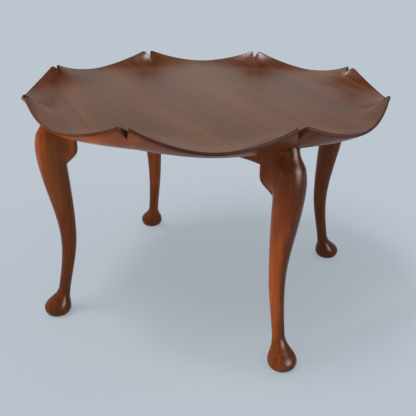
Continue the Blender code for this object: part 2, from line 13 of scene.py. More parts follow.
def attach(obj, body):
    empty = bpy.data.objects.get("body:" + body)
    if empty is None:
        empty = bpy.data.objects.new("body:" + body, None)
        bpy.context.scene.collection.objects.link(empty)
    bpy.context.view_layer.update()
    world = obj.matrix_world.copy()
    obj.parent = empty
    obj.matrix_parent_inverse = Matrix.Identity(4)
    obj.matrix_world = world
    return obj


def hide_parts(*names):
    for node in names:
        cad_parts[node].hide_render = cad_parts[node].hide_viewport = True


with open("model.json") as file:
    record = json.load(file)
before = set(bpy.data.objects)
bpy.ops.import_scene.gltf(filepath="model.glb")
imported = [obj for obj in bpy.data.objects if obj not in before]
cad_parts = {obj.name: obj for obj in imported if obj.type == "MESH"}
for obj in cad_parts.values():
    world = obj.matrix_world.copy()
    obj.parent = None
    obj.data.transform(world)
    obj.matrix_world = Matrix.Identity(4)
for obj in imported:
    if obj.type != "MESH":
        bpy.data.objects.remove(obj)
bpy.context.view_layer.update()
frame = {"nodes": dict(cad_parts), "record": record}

# Dished top
PEAK_COUNT = 8
SECTOR = 2 * math.pi / PEAK_COUNT
PEAK_RADIUS = 0.402
DIP_RADIUS = 0.408
RIM_DIP_HEIGHT = 0.4965
CREST_RISE = 0.0381
CREST_POWER = 1.8
DISH_DEPTH = 0.0065
DISH_FLOOR = RIM_DIP_HEIGHT - DISH_DEPTH
FLOOR_THICKNESS = 0.022
UNDERSIDE = DISH_FLOOR - FLOOR_THICKNESS
CURL_START_RADIUS = 0.280
CURL_POWER_AT_PEAK = 3.2
CURL_POWER_AT_DIP = 4.0
RIDGE_SOFTNESS = 0.8
RIM_THICKNESS = 0.005
RIM_ROUNDING = 0.0006
UNDERSIDE_FLAT_RADIUS = 0.300
UNDERSIDE_POWER_AT_PEAK = 3.6
UNDERSIDE_POWER_AT_DIP = 3.2
NOTCH_HALF_WIDTH = 0.0085
NOTCH_DEPTH_INSIDE = 0.019
NOTCH_DEPTH_OUTSIDE = 0.0145
SHOULDER_WIDTH = 0.007
SHOULDER_DROP = 0.003
SPINE_RISE = 0.0005
SPINE_HALF_WIDTH = 0.003
SPINE_FROM = 0.45

# Boards of the top
GRAIN_ANGLE = math.radians(135)
MIDDLE_BOARD_WIDTH = 0.280
GLUE_LINE = 0.00004

# Points of the top: how many to a sector, how far they crowd at a notch, and how many rings to each stretch
SIDES_PER_SECTOR = 80
CROWDING = 0.22
FLOOR_RINGS = 8
CURL_RINGS = 34
LIP_RINGS = 9
SWEEP_RINGS = 28
UNDER_RINGS = 4
CENTRE_RADIUS = 0.03

# Legs
SEAT_GAP = 0.0003
POST_X = 0.2305
POST_Y = 0.2175
HALF_POST = 0.030
RAIL_DEPTH = 0.0315
FRAME_TOP = UNDERSIDE - SEAT_GAP
HEAD_LOW = FRAME_TOP - RAIL_DEPTH
EAR_THICKNESS = 0.011
EAR_DEPTH = 0.057
EAR_LOW = UNDERSIDE - EAR_DEPTH
OGEE_DROP = 0.054
OGEE_LOW = EAR_LOW - OGEE_DROP
OGEE_CUT = 0.039
KNEE_DROP = 0.063
KNEE_HEIGHT = UNDERSIDE - KNEE_DROP
KNEE_RAMP_AT_TOP = 0.010
KNEE_RAMP_AT_KNEE = 0.022
PLANED_FROM_AT_KNEE = math.radians(86)
PLANED_FROM_AT_TOP = math.radians(56)
DIAGONAL = math.radians(45)
QUARTER_TURN = math.radians(90)
# Height, outward shift along the diagonal and radius at each turn of the leg's line
LEG_LINE = (
    (0.0, 0.0622, 0.0235),
    (0.005, 0.0624, 0.0287),
    (0.0165, 0.0624, 0.0314),
    (0.027, 0.0600, 0.0286),
    (0.038, 0.0545, 0.0222),
    (0.051, 0.0468, 0.0160),
    (0.068, 0.0412, 0.0136),
    (0.195, 0.0222, 0.0177),
    (KNEE_HEIGHT, 0.0445, 0.0310),
    (0.437, 0.0455, 0.0270),
    (UNDERSIDE, 0.0405, 0.0165),
    (RIM_DIP_HEIGHT, 0.0300, 0.0165),
)
LEG_SIDES = 60
LEG_RINGS = 150
EAR_SIDES = 5
EAR_RINGS = 36
RAMP_STEPS = 16
CARVING_GRAIN = 0.0011
SANDING_ROUNDS = 16
EASED_REACH = 0.009
EASED_END = HALF_POST / 3
EASING_ROUNDS = 150

# Rails and their tenons
RAIL_NAMES = ("front", "right", "back", "left")
RAIL_THICKNESS = 0.022
RAIL_SETBACK = 0.003
RAIL_ARCH_RISE = 0.013
RAIL_ARCH_POWER = 5.0
ARCH_STEPS = 36
TENON_LENGTH = 0.025
TENON_THICKNESS = 0.008
TENON_SHOULDER = 0.004
RAIL_INNER = HALF_POST - RAIL_SETBACK - RAIL_THICKNESS
RAIL_MIDDLE = RAIL_INNER + RAIL_THICKNESS / 2
RAIL_LENGTH_X = 2 * (POST_X - HALF_POST - SEAT_GAP)
RAIL_LENGTH_Y = 2 * (POST_Y - HALF_POST - SEAT_GAP)
RAIL_EASING = 0.0012

# Countersunk wood screws with a slot across the head
SCREW_ROOM = 0.0003
SCREW_BITE = 0.013
SCREW_SHANK_RADIUS = 0.002
SCREW_HEAD_RADIUS = 0.004
SCREW_HEAD_HEIGHT = 0.0024
SCREW_HEAD_EDGE = 0.0003
SCREW_POINT_LENGTH = 0.004
SCREW_SIDES = 32
SLOT_WIDTH = 0.0010
SLOT_DEPTH = 0.0011

# Corner blocks behind the posts
CORNER_BLOCK_REACH = 0.090
CORNER_BLOCK_HEIGHT = 0.022
CORNER_SCREW_INSET = 0.016
CORNER_SCREW_LENGTH = CORNER_SCREW_INSET + SEAT_GAP + SCREW_BITE

# Buttons that hold the top down, two to a rail
BUTTON_FROM_RAIL_END = 0.105
BUTTON_LENGTH = 0.034
BUTTON_WIDTH = 0.026
BUTTON_HEIGHT = 0.015
BUTTON_TONGUE_DEPTH = 0.008
BUTTON_TONGUE_HEIGHT = 0.006
BUTTON_TONGUE_DROP = 0.007
BUTTON_TONGUE_TOP = FRAME_TOP - BUTTON_TONGUE_DROP
BUTTON_SCREW_LENGTH = BUTTON_HEIGHT + SEAT_GAP + SCREW_BITE
BLOCK_EASING = 0.0008

# Widest sliver that is cleared after a cut
SLIVER = 0.00002

# Steepest fold, in degrees, that is still shaded smooth on carved pieces and on squared ones
CARVED_FOLD = 50
SQUARED_FOLD = 30

# Mahogany: its colour from dark streaks to light ones, and what darkens it: its pores, painted shade on the
# lip of the rim and a painted contact shadow at the soles
MAHOGANY_TONES = (
    (0.36, (0.104, 0.0210, 0.0036)),
    (0.47, (0.138, 0.0305, 0.0054)),
    (0.53, (0.162, 0.0385, 0.0072)),
    (0.64, (0.215, 0.0575, 0.0112)),
)
PORE_COLOUR = (0.030, 0.008, 0.003, 1.0)
# Painted shade: the lip of the rim is laid dark, as if little light reached it
LIP_PAINTED_SHADE_COLOUR = (0.035, 0.007, 0.002, 1.0)
# Painted contact shadow: the wood darkens towards the floor over this height
SOLE_PAINTED_SHADOW_COLOUR = (0.020, 0.006, 0.003, 1.0)
SOLE_PAINTED_SHADOW_HEIGHT = 0.011

# Beech: its two tones and its flecks
BEECH_TONES = ((0.35, (0.36, 0.215, 0.11)), (0.65, (0.50, 0.33, 0.19)))
FLECK_COLOUR = (0.20, 0.10, 0.045, 1.0)

# Steel, stained and bare
STEEL_TONES = ((0.38, (0.30, 0.24, 0.19)), (0.58, (0.56, 0.55, 0.53)))

# Studio: its wall from left to right, its ceiling and the light of its dome from the floor up
WALL_TONES = ((0.20, (0.36, 0.36, 0.33)), (0.34, (0.54, 0.54, 0.49)), (0.48, (0.40, 0.40, 0.37)))
CEILING_COLOUR = (0.10, 0.10, 0.09, 1.0)
DOME_TONES = ((0.0, (0.22, 0.22, 0.22)), (0.75, (0.50, 0.50, 0.51)))

# Stage and camera
FLOOR_SIZE = 60.0
FLOOR_COLOUR = (0.306, 0.340, 0.374, 1.0)
FLOOR_GLOW = (0.275, 0.311, 0.347, 1.0)
CAMERA_PLACE = Vector((0.4728, -1.2709, 0.8264))
CAMERA_AIM = Vector((0.0493, -0.1118, 0.265))
CAMERA_LENS = 51.71
CAMERA_SENSOR = 36.0
CAMERA_ROLL = math.radians(0.808)


def blend(start, end, share):
    return start + (end - start) * share


def ease(share):
    return share * share * (3 - 2 * share)


def within(value):
    """The nearest value from 0 to 1."""
    return min(max(value, 0.0), 1.0)


# Modelling by hand

def start_modelling():
    if bpy.context.mode != "OBJECT":
        bpy.ops.object.mode_set(mode="OBJECT")
    bpy.ops.object.select_all(action="DESELECT")


def named(name):
    piece = bpy.context.active_object
    piece.name = name
    piece.data.name = name
    return piece


def pick(*pieces):
    start_modelling()
    for piece in pieces:
        piece.select_set(True)
    bpy.context.view_layer.objects.active = pieces[0]


def edit_all(piece):
    pick(piece)
    bpy.ops.object.mode_set(mode="EDIT")
    bpy.ops.mesh.select_all(action="SELECT")


def finish_edit():
    bpy.ops.object.mode_set(mode="OBJECT")


def ring_blank(name, sides, rings):
    """A straight tube with a metre between its rings and both ends filled, ready to be carved."""
    start_modelling()
    bpy.ops.mesh.primitive_circle_add(vertices=sides, radius=1.0)
    piece = named(name)
    edit_all(piece)
    bpy.ops.mesh.select_mode(type="EDGE")
    for _ in range(rings - 1):
        bpy.ops.mesh.extrude_edges_move(TRANSFORM_OT_translate={"value": (0, 0, 1)})
    bpy.ops.mesh.select_all(action="SELECT")
    bpy.ops.mesh.fill_holes(sides=0)
    finish_edit()
    return piece


def carve(piece, sides, rule, marks=None):
    """Moves each point of a ring blank to the place that a rule gives for its ring and its side.

    Marks name the rings that a finish treats in its own way: the points of those rings carry the name.
    """
    step = 2 * math.pi / sides
    marked = {name: piece.data.attributes.new(name, "FLOAT", "POINT") for name in marks or {}}
    for point in piece.data.vertices:
        ring = round(point.co.z)
        turn = math.atan2(-point.co.x, point.co.y)
        point.co = rule(ring, round(turn / step) % sides)
        for name, values in marked.items():
            values.data[point.index].value = float(ring in marks[name])
    face_outwards(piece)


def face_outwards(piece):
    edit_all(piece)
    bpy.ops.mesh.normals_make_consistent(inside=False)
    finish_edit()


def apply_modifier(piece, kind, **settings):
    modifier = piece.modifiers.new(kind.lower(), kind)
    for key, value in settings.items():
        setattr(modifier, key, value)
    pick(piece)
    bpy.ops.object.modifier_apply(modifier=modifier.name)


def copy_of(piece, name):
    copy = piece.copy()
    copy.data = piece.data.copy()
    copy.name = name
    copy.data.name = name
    bpy.context.scene.collection.objects.link(copy)
    return copy


def remove(piece):
    bpy.data.objects.remove(piece)


def block(name, low, high):
    """A block between two corners."""
    low, high = Vector(low), Vector(high)
    start_modelling()
    bpy.ops.mesh.primitive_cube_add(size=1, location=(low + high) / 2, scale=high - low)
    piece = named(name)
    bpy.ops.object.transform_apply()
    return piece


def work(piece, operation, tool):
    """Cuts a tool from a piece or joins it on, and uses it up."""
    apply_modifier(piece, "BOOLEAN", operation=operation, object=tool)
    remove(tool)
    clean_cut(piece)


def clean_cut(piece):
    """Clears the slivers that a cut leaves, and the points that only break an edge in two."""
    edit_all(piece)
    bpy.ops.mesh.select_mode(type="VERT")
    bpy.ops.mesh.remove_doubles(threshold=SLIVER)
    bpy.ops.mesh.dissolve_degenerate(threshold=SLIVER)
    bpy.ops.mesh.select_all(action="DESELECT")
    finish_edit()
    edges_at = [0] * len(piece.data.vertices)
    for edge in piece.data.edges:
        for index in edge.vertices:
            edges_at[index] += 1
    for point in piece.data.vertices:
        point.select = edges_at[point.index] == 2
    bpy.ops.object.mode_set(mode="EDIT")
    bpy.ops.mesh.dissolve_verts()
    finish_edit()


def ease_edges(piece, width):
    fold = math.radians(SQUARED_FOLD)
    apply_modifier(piece, "BEVEL", width=width, segments=3, limit_method="ANGLE", angle_limit=fold)


def put(piece, place):
    """Moves a piece to its place and leaves the place in its mesh."""
    piece.matrix_world = place
    pick(piece)
    bpy.ops.object.transform_apply()


def smooth_by_angle(piece, degrees):
    pick(piece)
    bpy.ops.object.shade_smooth_by_angle(angle=math.radians(degrees))


def finish_piece(piece, finish, slot, *nodes):
    """Gives a piece its finish and puts it in the place of the solids that it stands for."""
    piece.data.materials.clear()
    piece.data.materials.append(finish)
    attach(piece, "root")
    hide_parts(*nodes)


# Dished top

def from_peak(angle):
    """How far a direction lies from the nearest peak: 0 at the peak and 1 at the dip."""
    return abs((angle + SECTOR / 2) % SECTOR - SECTOR / 2) / (SECTOR / 2)


def rim_radius(angle):
    return blend(PEAK_RADIUS, DIP_RADIUS, ease(from_peak(angle)))


def softened(distance, softness):
    """A distance from 0 to 1 with its sharp start rounded off."""
    return (math.hypot(distance, softness) - softness) / (math.hypot(1, softness) - softness)


def dish_height(radius, angle):
    """The dish at a place: it curls up towards the rim, and the ridge at each peak softens inwards."""
    reach = max((radius - CURL_START_RADIUS) / (rim_radius(angle) - CURL_START_RADIUS), 0.0)
    distance = softened(from_peak(angle), RIDGE_SOFTNESS * within(1 - reach))
    lift = DISH_DEPTH + CREST_RISE * (1 - distance) ** CREST_POWER
    power = blend(CURL_POWER_AT_PEAK, CURL_POWER_AT_DIP, distance)
    across = from_peak(angle) * SECTOR / 2 * radius / SPINE_HALF_WIDTH
    share = within((reach - SPINE_FROM) / (1 - SPINE_FROM))
    spine = SPINE_RISE * math.exp(-across * across) * 4 * share * (1 - share)
    return DISH_FLOOR + lift * reach ** power + spine


def outer_edge(angle):
    """The rim's lower edge where no notch cuts it, as (radius, height): square across the rim's slope."""
    radius = rim_radius(angle)
    back = radius - RIM_THICKNESS
    slope = math.atan2(dish_height(radius, angle) - dish_height(back, angle), RIM_THICKNESS)
    across = RIM_THICKNESS * Vector((math.sin(slope), -math.cos(slope)))
    return Vector((radius, dish_height(radius, angle))) + across


def underside_height(radius, angle):
    edge = outer_edge(angle)
    power = blend(UNDERSIDE_POWER_AT_PEAK, UNDERSIDE_POWER_AT_DIP, from_peak(angle))
    reach = (radius - UNDERSIDE_FLAT_RADIUS) / (edge.x - UNDERSIDE_FLAT_RADIUS)
    return UNDERSIDE + (edge.y - UNDERSIDE) * max(reach, 0.0) ** power


def notch_cut(angle, depth):
    """How far the rim is cut back towards the middle: a V at the peak with eased shoulders."""
    along = from_peak(angle) * SECTOR / 2 * PEAK_RADIUS
    if along < NOTCH_HALF_WIDTH:
        return blend(depth, SHOULDER_DROP, along / NOTCH_HALF_WIDTH)
    return SHOULDER_DROP * within(1 - (along - NOTCH_HALF_WIDTH) / SHOULDER_WIDTH) ** 2


def rim_ends(angle):
    """The inner and outer edge of the rim in one direction as (radius, height)."""
    inner_radius = rim_radius(angle) - notch_cut(angle, NOTCH_DEPTH_INSIDE)
    outer_radius = outer_edge(angle).x - notch_cut(angle, NOTCH_DEPTH_OUTSIDE)
    inner = Vector((inner_radius, dish_height(inner_radius, angle)))
    outer = Vector((outer_radius, underside_height(outer_radius, angle)))
    return inner, outer


def rim_angle(side):
    """The direction of one of the rim's points: they crowd together at each notch."""
    place = side / SIDES_PER_SECTOR
    peak = round(place)
    offset = 2 * (place - peak)
    return (peak + (CROWDING * offset + (1 - CROWDING) * offset ** 3) / 2) * SECTOR


def steps(count):
    return [step / count for step in range(count)]


def sweep_profile(angle, outer, drop=0.0):
    """The underside in one direction, from the rim's outer edge in to where it is flat."""
    profile = []
    for share in steps(SWEEP_RINGS):
        radius = blend(outer.x, UNDERSIDE_FLAT_RADIUS, share)
        profile.append((radius, underside_height(radius, angle) - drop))
    return profile


def top_profile(angle):
    """One direction's outline as (radius, height): over the floor, up the curl, round the lip and under."""
    inner, outer = rim_ends(angle)
    outward = Vector((inner.y - outer.y, outer.x - inner.x)).normalized()
    profile = []
    for share in steps(FLOOR_RINGS):
        profile.append((blend(CENTRE_RADIUS, CURL_START_RADIUS, share), DISH_FLOOR))
    for share in steps(CURL_RINGS):
        radius = blend(CURL_START_RADIUS, inner.x, share)
        profile.append((radius, dish_height(radius, angle)))
    for share in steps(LIP_RINGS):
        bulge = RIM_ROUNDING * math.sqrt(math.sin(math.pi * share))
        profile.append(tuple(inner.lerp(outer, share) + bulge * outward))
    profile += sweep_profile(angle, outer)
    for share in steps(UNDER_RINGS):
        profile.append((blend(UNDERSIDE_FLAT_RADIUS, CENTRE_RADIUS, share), UNDERSIDE))
    return profile


def trimmer_profile(angle):
    """The space above the underside, a seat gap lower than it, for trimming what stands under the top."""
    _, outer = rim_ends(angle)
    beyond = DIP_RADIUS + CREST_RISE
    above = RIM_DIP_HEIGHT + 2 * CREST_RISE
    under = sweep_profile(angle, outer, SEAT_GAP)
    return [(CENTRE_RADIUS, above), (beyond, above), (beyond, under[0][1])] + under


def turned_piece(name, profile_of, marks=None):
    """A closed piece whose outline in each direction of the rim is a list of (radius, height) points."""
    sides = SIDES_PER_SECTOR * PEAK_COUNT
    angles = [rim_angle(side) for side in range(sides)]
    profiles = [profile_of(angle) for angle in angles]
    piece = ring_blank(name, sides, len(profiles[0]))

    def place(ring, side):
        radius, height = profiles[side][ring]
        return radius * math.cos(angles[side]), radius * math.sin(angles[side]), height

    carve(piece, sides, place, marks)
    return piece


def saw(piece, distance, keep_beyond):
    """Saws a piece along the grain, at a distance across it, and keeps what is beyond or before the cut."""
    across = Vector((-math.sin(GRAIN_ANGLE), math.cos(GRAIN_ANGLE), 0))
    edit_all(piece)
    bpy.ops.mesh.bisect(
        plane_co=across * distance,
        plane_no=across,
        use_fill=True,
        clear_inner=keep_beyond,
        clear_outer=not keep_beyond,
    )
    finish_edit()


def make_top(finish):
    lip_start = FLOOR_RINGS + CURL_RINGS
    lip = range(lip_start, lip_start + LIP_RINGS + 1)
    # The rings of the lip are marked so that the finish paints shade on them
    dish = turned_piece("dish", top_profile, {"edge": lip, "upper_side": range(lip_start)})
    joint = MIDDLE_BOARD_WIDTH / 2
    cuts = {
        "left": [(-joint - GLUE_LINE, False)],
        "middle": [(-joint + GLUE_LINE, True), (joint - GLUE_LINE, False)],
        "right": [(joint + GLUE_LINE, True)],
    }
    for name, sides in cuts.items():
        board = copy_of(dish, f"dished_board_{name}")
        for distance, keep_beyond in sides:
            saw(board, distance, keep_beyond)
        smooth_by_angle(board, CARVED_FOLD)
        finish_piece(board, finish, "mahogany", f"top_board_{name}")
    remove(dish)


# Cabriole legs: one is made at the corner towards +X and +Y, and the others mirror it

def smooth_through(points, place):
    """A curve through (place, value) points that never overshoots them."""
    gaps = [after[0] - before[0] for before, after in zip(points, points[1:])]
    rates = [(after[1] - before[1]) / gap for before, after, gap in zip(points, points[1:], gaps)]
    slopes = [0.0] * len(points)
    for index in range(1, len(points) - 1):
        before, after = rates[index - 1], rates[index]
        if before * after > 0:
            slopes[index] = 2 * before * after / (before + after)
    index = 0
    while index < len(gaps) - 1 and place > points[index + 1][0]:
        index += 1
    share = (place - points[index][0]) / gaps[index]
    rise = ease(share) * (points[index + 1][1] - points[index][1])
    # The eased rise starts and ends level, so the slopes at its two ends are added to it
    lead = share * (1 - share) ** 2 * gaps[index] * slopes[index]
    tail = share ** 2 * (share - 1) * gaps[index] * slopes[index + 1]
    return points[index][1] + rise + lead + tail


def reach_with_ramp(direction, offset, radius):
    """How far a circle reaches in a direction when it is drawn out, tapering, to a point at an offset."""
    best = radius
    for step in range(1, RAMP_STEPS):
        share = step / RAMP_STEPS
        middle = offset * share
        along = middle.dot(direction)
        across = middle.length_squared - along * along
        room = (radius * (1 - share)) ** 2 - across
        if room > 0:
            best = max(best, along + math.sqrt(room))
    return best


def reach_to_line(direction, start, end):
    """How far a direction reaches from the centre to the line through two points."""
    run = end - start
    across = run.x * direction.y - run.y * direction.x
    return (run.x * start.y - run.y * start.x) / across


def leg_point(height, angle):
    """A point of the rounded leg from foot to knee, in the frame of its post's axis."""
    out = smooth_through([(place, shift) for place, shift, _ in LEG_LINE], height)
    radius = smooth_through([(place, size) for place, _, size in LEG_LINE], height)
    centre = Vector((out, out)) * math.cos(DIAGONAL)
    direction = Vector((math.cos(angle), math.sin(angle)))
    share = within((height - KNEE_HEIGHT) / (UNDERSIDE - KNEE_HEIGHT))
    along = -blend(KNEE_RAMP_AT_KNEE, KNEE_RAMP_AT_TOP, share)
    fade = ease(within((height - OGEE_LOW) / OGEE_DROP))
    reach = radius
    for ramp in ((along, HALF_POST), (HALF_POST, along)):
        offset = (Vector(ramp) - centre) * fade
        reach = max(reach, reach_with_ramp(direction, offset, radius))
    if height > KNEE_HEIGHT:
        reach = planed_reach(direction, centre, radius, along, share, reach)
    return (*(centre + direction * reach), height)


def planed_reach(direction, centre, radius, along, share, reach):
    """Above the knee the round is planed flat from an arris on each side to the face of the ear."""
    planed_from = blend(PLANED_FROM_AT_KNEE, PLANED_FROM_AT_TOP, share)
    for side, ramp in ((1, (along, HALF_POST)), (-1, (HALF_POST, along))):
        arris_angle = DIAGONAL + side * planed_from
        arris = radius * Vector((math.cos(arris_angle), math.sin(arris_angle)))
        end = Vector(ramp) - centre
        turn = side * (math.atan2(direction.y, direction.x) - DIAGONAL)
        turn = (turn + math.pi) % (2 * math.pi) - math.pi
        end_turn = side * (math.atan2(end.y, end.x) - DIAGONAL)
        end_turn = (end_turn + 2 * math.pi) % (2 * math.pi)
        if planed_from < turn < min(end_turn, math.pi):
            reach = reach_to_line(direction, arris, end)
    return reach


def ear_point(height, side):
    """A point of the two ears below the rails, cut off square to the diagonal."""
    cut = OGEE_CUT * ease(within((EAR_LOW - height) / OGEE_DROP))
    end = cut - HALF_POST
    back = HALF_POST - EAR_THICKNESS
    outline = ((HALF_POST, HALF_POST), (end, HALF_POST), (end, back), (back, end), (HALF_POST, end))
    return (*outline[side], height)


def crease_distance(point):
    """How far a point of the leg lies from the line where an ear meets the round of the knee."""
    share = within((point.z - KNEE_HEIGHT) / (UNDERSIDE - KNEE_HEIGHT))
    fade = within((KNEE_HEIGHT - point.z) / OGEE_DROP)
    along = blend(-blend(KNEE_RAMP_AT_KNEE, KNEE_RAMP_AT_TOP, share), EASED_END, fade)
    below = max(OGEE_LOW - point.z, 0.0)
    front = math.hypot(point.x - along, point.y - HALF_POST)
    side = math.hypot(point.y - along, point.x - HALF_POST)
    return math.hypot(min(front, side), below)


def ease_creases(leg):
    """Rubs down the hollow where each ear meets the knee, so that the two flow together."""
    crease = leg.vertex_groups.new(name="crease")
    for point in leg.data.vertices:
        weight = math.exp(-(crease_distance(point.co) / EASED_REACH) ** 2)
        crease.add([point.index], weight, "REPLACE")
    apply_modifier(leg, "SMOOTH", factor=0.5, iterations=EASING_ROUNDS, vertex_group="crease")
    leg.vertex_groups.clear()


def make_mortises():
    """The slots in a leg's head for the tenons of its two rails."""
    start = -2 * HALF_POST
    end = -HALF_POST + TENON_LENGTH + SEAT_GAP
    half = TENON_THICKNESS / 2 + SEAT_GAP
    low = HEAD_LOW + TENON_SHOULDER - SEAT_GAP
    high = FRAME_TOP - TENON_SHOULDER + SEAT_GAP
    sides = (RAIL_MIDDLE - half, RAIL_MIDDLE + half)
    along_x = block("mortise_x", (start, sides[0], low), (end, sides[1], high))
    along_y = block("mortise_y", (sides[0], start, low), (sides[1], end, high))
    return along_x, along_y


def make_leg():
    """The leg at the corner towards +X and +Y, carved from one block and trimmed under the top."""
    leg = ring_blank("cabriole_leg", LEG_SIDES, LEG_RINGS)
    top = LEG_LINE[-1][0]
    turn = 2 * math.pi / LEG_SIDES
    carve(leg, LEG_SIDES, lambda ring, side: leg_point(top * ring / (LEG_RINGS - 1), side * turn))
    ears = ring_blank("ears", EAR_SIDES, EAR_RINGS)
    rise = UNDERSIDE - OGEE_LOW
    carve(ears, EAR_SIDES, lambda ring, side: ear_point(OGEE_LOW + rise * (ring / (EAR_RINGS - 1)), side))
    head = block("head", (-HALF_POST, -HALF_POST, HEAD_LOW), (HALF_POST, HALF_POST, RIM_DIP_HEIGHT))
    pick(leg, ears, head)
    bpy.ops.object.join()
    apply_modifier(leg, "REMESH", mode="VOXEL", voxel_size=CARVING_GRAIN)
    apply_modifier(leg, "SMOOTH", factor=0.5, iterations=SANDING_ROUNDS)
    ease_creases(leg)
    for mortise in make_mortises():
        work(leg, "DIFFERENCE", mortise)
    put(leg, Matrix.Translation((POST_X, POST_Y, 0)))
    work(leg, "DIFFERENCE", turned_piece("trimmer", trimmer_profile))
    return leg


def make_legs(finish):
    pattern = make_leg()
    for across in ("left", "right"):
        for along in ("front", "back"):
            leg = copy_of(pattern, f"cabriole_leg_{along}_{across}")
            leg.scale = (1 if across == "right" else -1, 1 if along == "back" else -1, 1)
            pick(leg)
            bpy.ops.object.transform_apply()
            face_outwards(leg)
            smooth_by_angle(leg, CARVED_FOLD)
            finish_piece(leg, finish, "mahogany", f"leg_{along}_{across}")
    remove(pattern)


# Screws, which point up +Z from a flat head at z = 0

def screw_turning(name, profile):
    piece = ring_blank(name, SCREW_SIDES, len(profile))
    turn = 2 * math.pi / SCREW_SIDES

    def place(ring, side):
        radius, height = profile[ring]
        return radius * math.cos(side * turn), radius * math.sin(side * turn), height

    carve(piece, SCREW_SIDES, place)
    return piece


def make_screw(length):
    screw = screw_turning("screw", [
        (SCREW_HEAD_RADIUS - SCREW_HEAD_EDGE, 0),
        (SCREW_HEAD_RADIUS, SCREW_HEAD_EDGE),
        (SCREW_SHANK_RADIUS, SCREW_HEAD_HEIGHT),
        (SCREW_SHANK_RADIUS, length - SCREW_POINT_LENGTH),
        (SCREW_SHANK_RADIUS / 4, length),
    ])
    reach = 2 * SCREW_HEAD_RADIUS
    slot = block("slot", (-reach, -SLOT_WIDTH / 2, -SLOT_DEPTH), (reach, SLOT_WIDTH / 2, SLOT_DEPTH))
    work(screw, "DIFFERENCE", slot)
    smooth_by_angle(screw, SQUARED_FOLD)
    return screw


def make_screw_hole(length):
    """The space that a screw needs, open below its head."""
    head = SCREW_HEAD_RADIUS + SCREW_ROOM
    shank = SCREW_SHANK_RADIUS + SCREW_ROOM
    return screw_turning("screw_hole", [
        (head, -2 * SCREW_HEAD_RADIUS),
        (head, 0),
        (shank, SCREW_HEAD_HEIGHT),
        (shank, length + SCREW_ROOM),
    ])


# Rails, each modelled along X over the origin with its outer face towards -Y

def rail_length(turn):
    return RAIL_LENGTH_X if turn % 2 == 0 else RAIL_LENGTH_Y


def rail_place(turn):
    """The place of a rail, a number of quarter turns round from the front."""
    distance = (POST_Y if turn % 2 == 0 else POST_X) + RAIL_MIDDLE
    return Matrix.Rotation(turn * QUARTER_TURN, 4, "Z") @ Matrix.Translation((0, -distance, 0))


def button_places(turn):
    along = rail_length(turn) / 2 - BUTTON_FROM_RAIL_END
    return {"a": -along, "b": along}


def arch_lower_edge(rail, half):
    for step in range(1, ARCH_STEPS):
        edit_all(rail)
        bpy.ops.mesh.bisect(plane_co=(blend(-half, half, step / ARCH_STEPS), 0, 0), plane_no=(1, 0, 0))
        finish_edit()
    for point in rail.data.vertices:
        if point.co.z < FRAME_TOP - RAIL_DEPTH / 2:
            share = abs(point.co.x) / half
            point.co.z += RAIL_ARCH_RISE * (1 - share ** RAIL_ARCH_POWER)


def make_rail(turn):
    """A rail with an arched lower edge, a tenon at each end and a slot for each of its buttons."""
    half = rail_length(turn) / 2
    thick = RAIL_THICKNESS / 2
    rail = block("rail", (-half, -thick, HEAD_LOW), (half, thick, FRAME_TOP))
    arch_lower_edge(rail, half)
    ease_edges(rail, RAIL_EASING)
    tip = half + SEAT_GAP + TENON_LENGTH
    root = half - TENON_LENGTH
    low, high = HEAD_LOW + TENON_SHOULDER, FRAME_TOP - TENON_SHOULDER
    for start, end in ((-tip, -root), (root, tip)):
        tenon = block("tenon", (start, -TENON_THICKNESS / 2, low), (end, TENON_THICKNESS / 2, high))
        work(rail, "UNION", tenon)
    reach = BUTTON_LENGTH / 2 + SEAT_GAP
    slot_low = BUTTON_TONGUE_TOP - BUTTON_TONGUE_HEIGHT - SEAT_GAP
    slot_back = thick - BUTTON_TONGUE_DEPTH - SEAT_GAP
    for along in button_places(turn).values():
        corner = (along + reach, RAIL_THICKNESS, BUTTON_TONGUE_TOP + SEAT_GAP)
        work(rail, "DIFFERENCE", block("slot", (along - reach, slot_back, slot_low), corner))
    smooth_by_angle(rail, SQUARED_FOLD)
    return rail


def make_rails(finishes):
    """The rails with the finish of each, whose grain runs along it."""
    for turn, name in enumerate(RAIL_NAMES):
        rail = make_rail(turn)
        rail.name = f"arched_rail_{name}"
        rail.data.name = rail.name
        put(rail, rail_place(turn))
        finish_piece(rail, finishes[turn % 2], "mahogany", f"rail_{name}")


# Corner blocks, modelled at the corner towards +X and +Y in the frame of its post's axis

def corner_screw_places():
    """The places of a corner block's two screws, which point along +Y and +X."""
    along = CORNER_SCREW_INSET - CORNER_BLOCK_REACH
    start = RAIL_INNER - SEAT_GAP - CORNER_SCREW_INSET
    height = FRAME_TOP - CORNER_BLOCK_HEIGHT / 2
    return {
        "a": (Vector((along, start, height)), Vector((0, 1, 0))),
        "b": (Vector((start, along, height)), Vector((1, 0, 0))),
    }


def pointing(place, direction):
    return Matrix.Translation(place) @ direction.to_track_quat("Z", "Y").to_matrix().to_4x4()


def make_corner_block():
    rail = RAIL_INNER - SEAT_GAP
    post = -HALF_POST - SEAT_GAP
    end = -CORNER_BLOCK_REACH
    low = FRAME_TOP - CORNER_BLOCK_HEIGHT
    piece = block("corner_block", (end, end, low), (rail, rail, FRAME_TOP))
    edit_all(piece)
    bpy.ops.mesh.bisect(plane_co=(end, rail, 0), plane_no=(1, 1, 0), use_fill=True, clear_inner=True)
    finish_edit()
    beyond = (HALF_POST, HALF_POST, FRAME_TOP + HALF_POST)
    work(piece, "DIFFERENCE", block("post", (post, post, low - HALF_POST), beyond))
    ease_edges(piece, BLOCK_EASING)
    for place, direction in corner_screw_places().values():
        hole = make_screw_hole(CORNER_SCREW_LENGTH)
        put(hole, pointing(place, direction))
        work(piece, "DIFFERENCE", hole)
    smooth_by_angle(piece, SQUARED_FOLD)
    return piece


